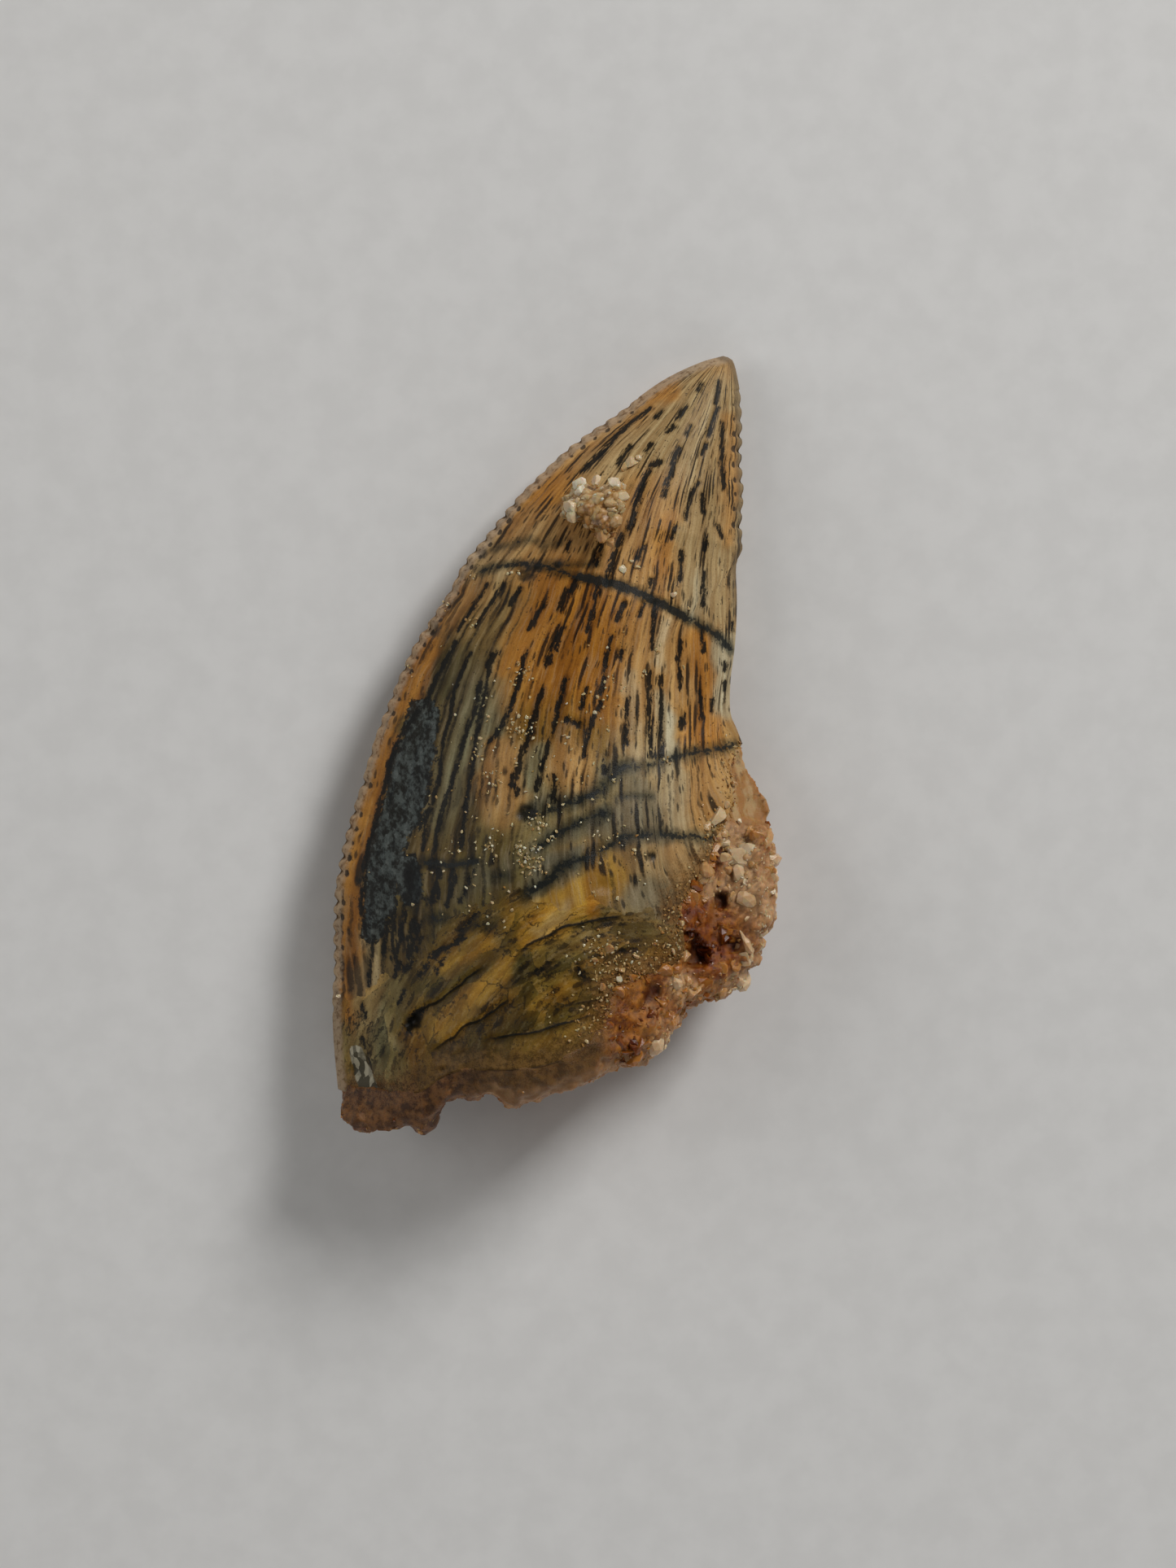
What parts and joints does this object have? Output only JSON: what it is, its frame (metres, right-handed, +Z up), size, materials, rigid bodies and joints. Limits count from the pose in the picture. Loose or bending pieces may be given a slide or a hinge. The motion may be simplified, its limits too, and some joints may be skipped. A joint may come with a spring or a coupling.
{
  "type": "fossil theropod tooth",
  "caption": "Recurved, flattened fossil tooth crown with serrated edges, its broken base covered in sandstone, lying on its flatter face",
  "frame": {"origin": "bottom centre of the whole part's box, on the surface that the tooth lies on", "axes": "+Y from the broken base to the tip, +X towards the rear (distal) edge, +Z up from the surface through the thickness"},
  "size_m": [0.0137, 0.0239, 0.0057],
  "materials": {
    "enamel": "semi-gloss fossil enamel, cream and orange with dark streaks",
    "sandstone": "rough orange-brown sandstone with pale quartz grains",
    "lump_sandstone": "rough pale pinkish sandstone, sugary"
  },
  "bodies": {
    "root": {"crown": "enamel", "base_sandstone": "sandstone", "crown_lump": "lump_sandstone"}
  },
  "joints": []
}
